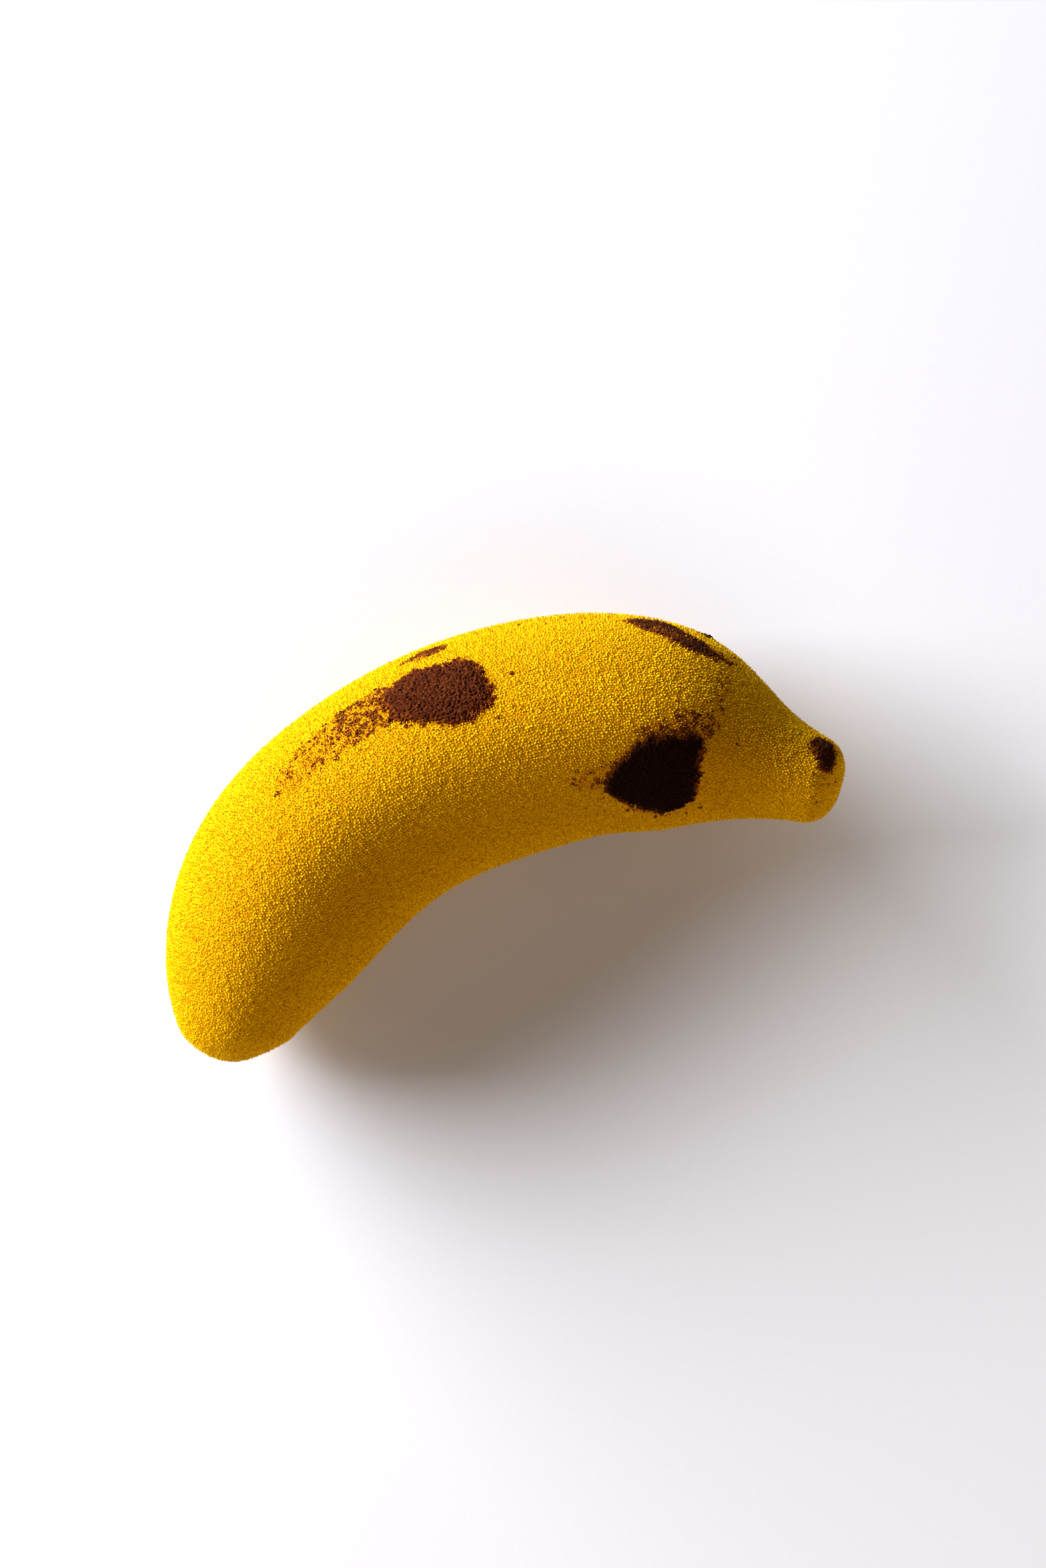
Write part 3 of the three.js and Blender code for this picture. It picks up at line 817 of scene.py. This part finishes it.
def bead_tree(paint):
    """Sets crisp beads on the coat, evenly spaced and sunk a little into it, on the half of its
    length where x times Half isn't below 0."""
    tree, source, into = geometry_tree("crisp_beads", {
        "Spacing": ("NodeSocketFloat", 0.42 * MM), "Smallest": ("NodeSocketFloat", 0.18 * MM),
        "Largest": ("NodeSocketFloat", 0.34 * MM), "Rise": ("NodeSocketFloat", 1.2),
        "Sides": ("NodeSocketInt", BEAD_SIDES), "Half": ("NodeSocketFloat", 1.0),
        "Seed": ("NodeSocketInt", BEAD_SEED)})
    place = node(tree, "GeometryNodeInputPosition").outputs[0]
    along = node(tree, "ShaderNodeSeparateXYZ", {0: place}).outputs[0]
    side = node(tree, "ShaderNodeMath", {0: along, 1: source.outputs["Half"]}, operation="MULTIPLY")
    chosen = node(tree, "FunctionNodeCompare", {0: side.outputs[0], 1: 0.0},
                  operation="GREATER_EQUAL", data_type="FLOAT")
    free = node(tree, "GeometryNodeInputNamedAttribute", {"Name": "free"}, data_type="FLOAT")
    points = node(tree, "GeometryNodeDistributePointsOnFaces", {
        "Mesh": source.outputs["Geometry"], "Selection": chosen.outputs[0],
        "Distance Min": source.outputs["Spacing"], "Density Max": BEAD_DENSITY,
        "Density Factor": free.outputs[0], "Seed": source.outputs["Seed"]},
        distribute_method="POISSON")
    bead = node(tree, "GeometryNodeMeshCone", {
        "Vertices": source.outputs["Sides"], "Side Segments": 1, "Fill Segments": 1,
        "Radius Top": 0.0, "Radius Bottom": 1.0, "Depth": BEAD_TALL}, fill_type="NGON")
    sunk = node(tree, "GeometryNodeTransform", {
        "Geometry": bead.outputs[0], "Translation": (0.0, 0.0, -BEAD_SUNK)})
    turn = node(tree, "FunctionNodeRandomValue", {
        "Min": (-BEAD_TILT, -BEAD_TILT, 0.0), "Max": (BEAD_TILT, BEAD_TILT, FULL_TURN),
        "Seed": BEAD_TURN_SEED}, data_type="FLOAT_VECTOR")
    facing = node(tree, "FunctionNodeRotateRotation", {
        "Rotation": points.outputs["Rotation"], "Rotate By": turn.outputs[0]},
        rotation_space="LOCAL")
    size = node(tree, "FunctionNodeRandomValue", {
        "Min": source.outputs["Smallest"], "Max": source.outputs["Largest"],
        "Seed": BEAD_SIZE_SEED}, data_type="FLOAT")
    rise = node(tree, "ShaderNodeMath", {0: size.outputs[1], 1: source.outputs["Rise"]},
                operation="MULTIPLY")
    shape = node(tree, "ShaderNodeCombineXYZ", {
        0: size.outputs[1], 1: size.outputs[1], 2: rise.outputs[0]})
    placed = node(tree, "GeometryNodeInstanceOnPoints", {
        "Points": points.outputs["Points"], "Instance": sunk.outputs[0],
        "Rotation": facing.outputs[0], "Scale": shape.outputs[0]})
    # Painted highlight: each bead gets a random share, from the dullest up, of the lighter bead
    # colour.
    bright = node(tree, "FunctionNodeRandomValue", {
        "Min": BEAD_DULLEST, "Max": 1.0, "Seed": BEAD_TONE_SEED}, data_type="FLOAT")
    marked = node(tree, "GeometryNodeStoreNamedAttribute", {
        "Geometry": placed.outputs[0], "Name": "proud", "Value": bright.outputs[1]},
        data_type="FLOAT", domain="INSTANCE")
    crisp = node(tree, "GeometryNodeSetShadeSmooth", {
        "Geometry": marked.outputs[0], "Shade Smooth": False})
    finish_tree(tree, into, crisp.outputs[0], paint)
    return tree


def crumb_tree(paint):
    """Scatters lumpy crumbs over the coat where its crumb field says, sunk a little into it."""
    tree, source, into = geometry_tree("crumb_scatter", {
        "Per Square Metre": ("NodeSocketFloat", 7e5), "Smallest": ("NodeSocketFloat", 0.12 * MM),
        "Largest": ("NodeSocketFloat", 0.42 * MM), "Fineness": ("NodeSocketInt", 2),
        "Seed": ("NodeSocketInt", 3)})
    field = node(tree, "GeometryNodeInputNamedAttribute", {"Name": "crumbs"}, data_type="FLOAT")
    cluster = node(tree, "ShaderNodeTexNoise", {
        "Vector": node(tree, "GeometryNodeInputPosition").outputs[0],
        "Scale": 1 / (CRUMB_CLUSTER * MM), "Detail": 1.0, "Roughness": 0.5})
    drawn = node(tree, "ShaderNodeMapRange", {
        "Value": cluster.outputs[0], "From Min": 0.46, "From Max": 0.62, "To Min": 0.0,
        "To Max": 1.0})
    field = node(tree, "ShaderNodeMath", {
        0: field.outputs[0], 1: drawn.outputs[0]}, operation="MULTIPLY")
    thick = node(tree, "ShaderNodeMath", {
        0: field.outputs[0], 1: source.outputs["Per Square Metre"]}, operation="MULTIPLY")
    points = node(tree, "GeometryNodeDistributePointsOnFaces", {
        "Mesh": source.outputs["Geometry"], "Density": thick.outputs[0],
        "Seed": source.outputs["Seed"]}, distribute_method="RANDOM")
    ball = node(tree, "GeometryNodeMeshIcoSphere", {
        "Radius": 1.0, "Subdivisions": source.outputs["Fineness"]})
    spread = node(tree, "FunctionNodeRandomValue", {
        "Min": 0.0, "Max": 1.0, "Seed": source.outputs["Seed"]}, data_type="FLOAT")
    rare = node(tree, "ShaderNodeMath", {0: spread.outputs[1], 1: CRUMB_RARITY}, operation="POWER")
    size = node(tree, "ShaderNodeMapRange", {
        "Value": rare.outputs[0], "From Min": 0.0, "From Max": 1.0,
        "To Min": source.outputs["Smallest"], "To Max": source.outputs["Largest"]})
    turn = node(tree, "FunctionNodeRandomValue", {
        "Min": (0.0, 0.0, 0.0), "Max": (FULL_TURN, FULL_TURN, FULL_TURN),
        "Seed": CRUMB_TURN_SEED}, data_type="FLOAT_VECTOR")
    placed = node(tree, "GeometryNodeInstanceOnPoints", {
        "Points": points.outputs["Points"], "Instance": ball.outputs[0],
        "Rotation": turn.outputs[0], "Scale": size.outputs[0]})
    toned = node(tree, "GeometryNodeStoreNamedAttribute", {
        "Geometry": placed.outputs[0], "Name": "tone", "Value": spread.outputs[1]},
        data_type="FLOAT", domain="INSTANCE")
    thinned = node(tree, "GeometryNodeStoreNamedAttribute", {
        "Geometry": toned.outputs[0], "Name": "thin", "Value": 1.0},
        data_type="FLOAT", domain="INSTANCE")
    real = node(tree, "GeometryNodeRealizeInstances", {"Geometry": thinned.outputs[0]})
    place = node(tree, "GeometryNodeInputPosition").outputs[0]
    lumps = node(tree, "ShaderNodeTexNoise", {
        "Vector": place, "Scale": 1 / (CRUMB_LUMP * MM), "Detail": 1.0, "Roughness": 0.5})
    push = node(tree, "ShaderNodeVectorMath", {0: lumps.outputs[1], 1: (0.5, 0.5, 0.5)},
                operation="SUBTRACT")
    push = node(tree, "ShaderNodeVectorMath", {
        0: push.outputs[0], "Scale": CRUMB_PUSH * MM}, operation="SCALE")
    lumpy = node(tree, "GeometryNodeSetPosition", {
        "Geometry": real.outputs[0], "Offset": push.outputs[0]})
    finish_tree(tree, into, lumpy.outputs[0], paint)
    return tree


def grains_near(u, v, seed, outline, clump_size):
    """The nearest grain of powder to points on the skin: how far off it is, how deep in the outline
    it lies, how the powder clumps there, and its random numbers."""
    draw = np.random.default_rng(seed)
    low = np.floor(np.array([u.min(), v.min()]) / GRAIN_PITCH).astype(int) - 1
    count = np.floor(np.array([u.max(), v.max()]) / GRAIN_PITCH).astype(int) + 2 - low
    cell = np.stack(np.meshgrid(np.arange(count[0]), np.arange(count[1]), indexing="ij"), -1)
    grain = (cell + low + draw.uniform(*GRAIN_SCATTER, cell.shape)) * GRAIN_PITCH
    chance = draw.random((*count, 3))
    clump = np.zeros(tuple(count))
    for index in np.ndindex(*count):
        place = Vector((*grain[index], seed * CLUMP_APART)) / clump_size
        clump[index] = noise.noise(place) + CLUMP_FINE_SHARE * noise.noise(place * CLUMP_FINER)
    depth = depth_inside(grain[..., 0], grain[..., 1], outline)
    i = np.floor(u / GRAIN_PITCH).astype(int) - low[0]
    j = np.floor(v / GRAIN_PITCH).astype(int) - low[1]
    off = np.full(u.shape, np.inf)
    nearest = np.zeros((2, *u.shape), int)
    for di in (-1, 0, 1):
        for dj in (-1, 0, 1):
            far = np.hypot(*(grain[i + di, j + dj] - np.stack([u, v], -1)).transpose(2, 0, 1))
            nearest = np.where(far < off, np.stack([i + di, j + dj]), nearest)
            off = np.minimum(off, far)
    which = tuple(nearest)
    return off, depth[which], clump[which], chance[which]


def crust_mesh(name, patch, usual):
    """A closed crust of powder, grain by grain. What lies bare of grains dips under the coat, so
    its edge is as ragged as its grains, and islands of them lie outside it. Real powder is far
    finer, so each grain here stands for a small clump, as coarse as it needs to be to show."""
    reach = np.abs(np.array(patch["outline"])).max(0) + CRUST_MARGIN
    u, v = np.meshgrid(np.arange(-reach[0], reach[0], CRUST_CELL),
                       np.arange(-reach[1], reach[1], CRUST_CELL), indexing="ij")
    off, depth, clump, chance = grains_near(
        u, v, int(patch["along"]), patch["outline"],
        CLUMP_PACKED if patch["packed"] > 0 else CLUMP_LOOSE)
    lies = (np.minimum(depth, patch["packed"]) + CLUMP_WEIGHT * clump
            + CHANCE_WEIGHT * (chance[..., 0] - 0.5))
    there = (lies > 0) & (depth > -CRUST_MARGIN) & ((off < GRAIN_REACH) | (lies > CLOSED_FROM))
    inwards = BED_EDGE + (1 - BED_EDGE) * smooth_step(0.0, BED_WHOLE, lies)
    bed = usual * patch["thick"] * inwards * (BED_LEAST + BED_SPREAD * chance[..., 1])
    rise = GRAIN_RISE * (1 - MOIST_FLAT * patch["moist"]) * (1 - (off / GRAIN_REACH) ** 2)
    height = np.where(there, bed + rise, -CRUST_SUNK)
    here, normal = skin_point(
        patch["along"] + u, math.radians(patch["round"]) + v / patch["radius"])
    top = here + normal * height[..., None]
    bottom = here - normal * 2 * CRUST_SUNK
    cells = there[:-1, :-1] | there[1:, :-1] | there[:-1, 1:] | there[1:, 1:]
    corner = [(slice(None, -1), slice(None, -1)), (slice(1, None), slice(1, None)),
              (slice(1, None), slice(None, -1)), (slice(None, -1), slice(1, None))]
    # Cells that touch only at a corner are joined, or the crust would pinch to a point there.
    for _ in range(6):
        one, other, third, fourth = (cells[k] for k in corner)
        touch = (one & other & ~third & ~fourth) | (~one & ~other & third & fourth)
        for k in corner:
            cells[k] |= touch
    i, j = np.nonzero(cells)
    first = i * u.shape[1] + j
    corners = np.stack([first, first + 1, first + 1 + u.shape[1], first + u.shape[1]], -1)
    used, packed = np.unique(corners, return_inverse=True)
    quads = packed.reshape(-1, 4)
    count = len(used)
    start, end = quads.reshape(-1), np.roll(quads, -1, axis=1).reshape(-1)
    open_edge = ~np.isin(end * count + start, start * count + end)
    a, b = start[open_edge], end[open_edge]
    wall = np.stack([b, a, a + count, b + count], -1)
    faces = np.concatenate([quads, quads[:, ::-1] + count, wall])
    points = np.concatenate([top.reshape(-1, 3)[used], bottom.reshape(-1, 3)[used]])
    thin = (1 - smooth_step(0.0, 1.0, lies)).reshape(-1)[used]
    tone = chance[..., 2].reshape(-1)[used]
    return plain_mesh(name, points, faces.tolist(), {
        "moist": np.full(2 * count, patch["moist"]), "thin": np.tile(thin, 2),
        "tone": np.tile(tone, 2)})


def kept_piece(piece, slot, *nodes):
    """Says what a finished piece rides on and what it replaces; its finish, slot, is not used."""
    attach(piece, "root")
    if nodes:
        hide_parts(*nodes)


class DESSERT_OT_velvet_coat(bpy.types.Operator):
    """Builds the moulded body with its sprayed velvet coat"""
    bl_idname = "dessert.velvet_coat"
    bl_label = "Velvet coat"

    def execute(self, context):
        look = context.scene.dessert_velvet
        paint = sprayed_velvet(look)
        draft = new_object("coat_draft", coat_mesh())
        shape = baked(draft, velvet_relief_tree(paint), {
            "Bead Pitch": look.bead_pitch, "Relief Height": RELIEF_HEIGHT * MM}, "banana_coat")
        bpy.data.objects.remove(draft)
        coat = new_object("banana_coat", shape)
        beads = bead_tree(paint)
        for name, half in (("beads_blossom_half", -1.0), ("beads_stem_half", 1.0)):
            mesh = baked(coat, beads, {
                "Spacing": look.bead_spacing, "Smallest": look.bead_smallest,
                "Largest": look.bead_largest, "Rise": look.bead_rise, "Sides": BEAD_SIDES,
                "Half": half, "Seed": BEAD_SEED}, name)
            kept_piece(new_object(name, mesh), "velvet_coat")
        kept_piece(coat, "velvet_coat", "banana_body")
        return {"FINISHED"}


class DESSERT_OT_cocoa_patches(bpy.types.Operator):
    """Builds the crust of each cocoa patch"""
    bl_idname = "dessert.cocoa_patches"
    bl_label = "Cocoa patches"

    def execute(self, context):
        look = context.scene.dessert_cocoa
        paint = cocoa(look)
        for name, patch in PATCHES.items():
            mesh = crust_mesh(f"{name}_crust", patch, look.thickness / MM)
            mesh.materials.append(paint)
            kept_piece(new_object(f"{name}_crust", mesh), "cocoa_powder", name)
        for name, patch in SCATTERS.items():
            mesh = crust_mesh(name, patch, look.thickness / MM)
            mesh.materials.append(paint)
            kept_piece(new_object(name, mesh), "cocoa_powder")
        return {"FINISHED"}


class DESSERT_OT_cocoa_crumbs(bpy.types.Operator):
    """Scatters the loose crumbs and specks of cocoa round the patches"""
    bl_idname = "dessert.cocoa_crumbs"
    bl_label = "Cocoa crumbs"

    def execute(self, context):
        look = context.scene.dessert_cocoa
        paint = bpy.data.materials["pressed_cocoa_powder"]
        tree = crumb_tree(paint)
        coat = bpy.data.objects["banana_coat"]
        per_mm2 = 1 / MM ** 2
        for name, sort in CRUMBS.items():
            mesh = baked(coat, tree, {
                "Per Square Metre": getattr(look, sort["setting"]) * per_mm2,
                "Smallest": sort["smallest"] * MM, "Largest": sort["largest"] * MM,
                "Fineness": sort["fineness"], "Seed": sort["seed"]}, name)
            kept_piece(new_object(name, mesh), "cocoa_powder")
        return {"FINISHED"}


def camera_axes():
    """The camera's right, up and back directions, and the mould frame's origin at rest, in mm."""
    right = REST_TURN @ np.array([math.cos(CHORD_TURN), -math.sin(CHORD_TURN), 0.0])
    up = REST_TURN @ np.array([math.sin(CHORD_TURN), math.cos(CHORD_TURN), 0.0])
    back = REST_TURN @ np.array([0.0, 0.0, 1.0])
    origin = at_rest(np.zeros((1, 3)), SHIFT)[0]
    return Vector(right), Vector(up), Vector(back), Vector(origin)


def area_light(name, power, kind, right, up, back, origin):
    """A soft light that looks at the dessert, placed by the camera's right, up and back."""
    lamp = bpy.data.lights.new(name, "AREA")
    lamp.shape = "RECTANGLE"
    lamp.size, lamp.size_y = kind["sides"]
    lamp.energy = power
    lamp.color = kind["colour"]
    towards, along = (right * r + up * u + back * b for r, u, b in (kind["stands"], kind["along"]))
    towards = towards.normalized()
    across = towards.cross(along).normalized()
    turn = Matrix((across.cross(towards), across, towards)).transposed().to_4x4()
    made = new_object(name, lamp)
    made.matrix_world = Matrix.Translation(origin * MM + towards * kind["distance"]) @ turn


class DESSERT_OT_studio(bpy.types.Operator):
    """Builds the floor, lights and camera"""
    bl_idname = "dessert.studio"
    bl_label = "Studio"

    def execute(self, context):
        look = context.scene.dessert_studio
        corners = np.array([(x * FLOOR_HALF, y * FLOOR_HALF, -FLOOR_DROP)
                            for x, y in ((-1, -1), (1, -1), (1, 1), (-1, 1))]) / MM
        floor = new_object("studio_floor", plain_mesh("studio_floor", corners, [[0, 1, 2, 3]], {}))
        floor.data.materials.append(pale_paper(look))
        right, up, back, origin = camera_axes()
        world = bpy.data.worlds.new("studio_air")
        world.use_nodes = True
        air = world.node_tree.nodes["Background"]
        air.inputs["Color"].default_value = (*ROOM_COLOUR, 1)
        air.inputs["Strength"].default_value = look.air
        context.scene.world = world
        area_light("key_light", look.key_power, KEY_LIGHT, right, up, back, origin)
        area_light("fill_light", look.fill_power, FILL_LIGHT, right, up, back, origin)
        lens = bpy.data.cameras.new("photo_camera")
        lens.sensor_width = SENSOR
        lens.lens = PIXELS_PER_MM * CAMERA_DISTANCE * SENSOR / PHOTO_HEIGHT
        lens.clip_start = CLIP_NEAR
        lens.clip_end = CLIP_FAR
        camera = new_object("photo_camera", lens)
        off_right = (PHOTO_WIDTH / 2 - ORIGIN_PIXEL[0]) / PIXELS_PER_MM
        off_up = (ORIGIN_PIXEL[1] - PHOTO_HEIGHT / 2) / PIXELS_PER_MM
        spot = origin + right * off_right + up * off_up + back * CAMERA_DISTANCE
        turn = Matrix((right, up, back)).transposed().to_4x4()
        camera.matrix_world = Matrix.Translation(spot * MM) @ turn
        context.scene.camera = camera
        context.scene.view_settings.view_transform = "Standard"
        context.scene.view_settings.look = "None"
        return {"FINISHED"}


class DESSERT_PT_panel(bpy.types.Panel):
    """Lists the dessert's builders in the 3D view's sidebar"""
    bl_idname = "DESSERT_PT_panel"
    bl_label = "Dessert"
    bl_space_type = "VIEW_3D"
    bl_region_type = "UI"
    bl_category = "Dessert"

    def draw(self, context):
        layout = self.layout
        for settings in (context.scene.dessert_velvet, context.scene.dessert_cocoa,
                         context.scene.dessert_studio):
            box = layout.box()
            for name in settings.bl_rna.properties.keys():
                if name not in ("rna_type", "name"):
                    box.prop(settings, name)
        for step in OPERATORS:
            layout.operator(step.bl_idname)


OPERATORS = (DESSERT_OT_studio, DESSERT_OT_velvet_coat, DESSERT_OT_cocoa_patches,
             DESSERT_OT_cocoa_crumbs)
CLASSES = (VelvetSettings, CocoaSettings, StudioSettings, *OPERATORS, DESSERT_PT_panel)


def register():
    for made in CLASSES:
        bpy.utils.register_class(made)
    bpy.types.Scene.dessert_velvet = bpy.props.PointerProperty(type=VelvetSettings)
    bpy.types.Scene.dessert_cocoa = bpy.props.PointerProperty(type=CocoaSettings)
    bpy.types.Scene.dessert_studio = bpy.props.PointerProperty(type=StudioSettings)


def unregister():
    del bpy.types.Scene.dessert_velvet
    del bpy.types.Scene.dessert_cocoa
    del bpy.types.Scene.dessert_studio
    for made in reversed(CLASSES):
        bpy.utils.unregister_class(made)


def main():
    register()
    bpy.ops.dessert.studio()
    bpy.ops.dessert.velvet_coat()
    bpy.ops.dessert.cocoa_patches()
    bpy.ops.dessert.cocoa_crumbs()


if __name__ == "__main__":
    main()
